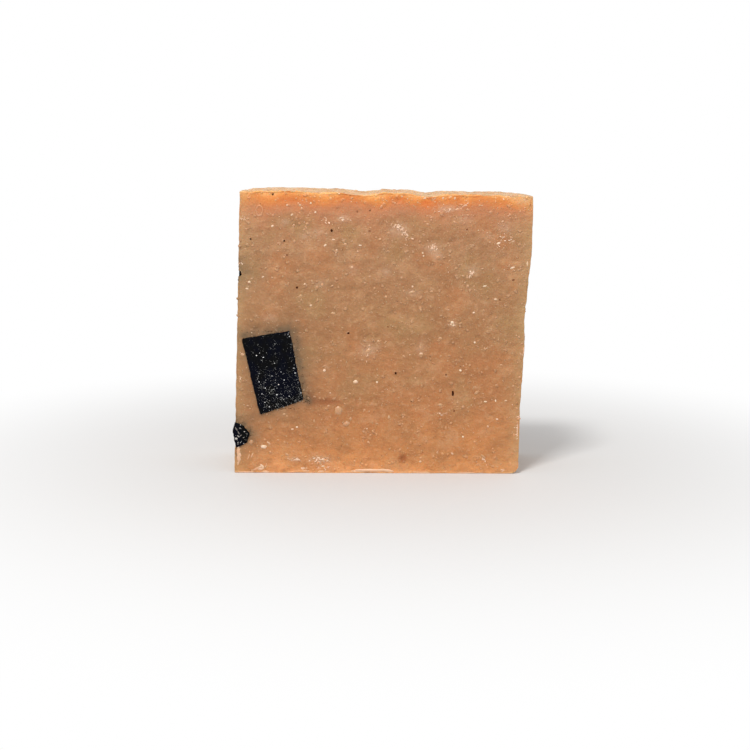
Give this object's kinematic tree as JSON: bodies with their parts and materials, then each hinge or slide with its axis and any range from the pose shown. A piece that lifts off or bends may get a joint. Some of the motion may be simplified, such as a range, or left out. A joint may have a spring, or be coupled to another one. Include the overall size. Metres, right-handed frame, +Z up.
{
  "type": "bar of soap",
  "caption": "Square hand-cut bar of pale orange handmade soap with black soap pieces cast in, standing on its base.",
  "frame": {"origin": "middle of the base that the bar stands on", "axes": "+Z up, +X to the right along the front face, +Y from the front face into the bar"},
  "size_m": [0.0787, 0.025, 0.0749],
  "materials": {
    "orange_soap": "satin",
    "black_soap": "satin"
  },
  "bodies": {
    "root": {"soap_bar": "orange_soap", "black_slab": "black_soap", "black_nugget_low": "black_soap", "black_nugget_high": "black_soap"}
  },
  "joints": []
}
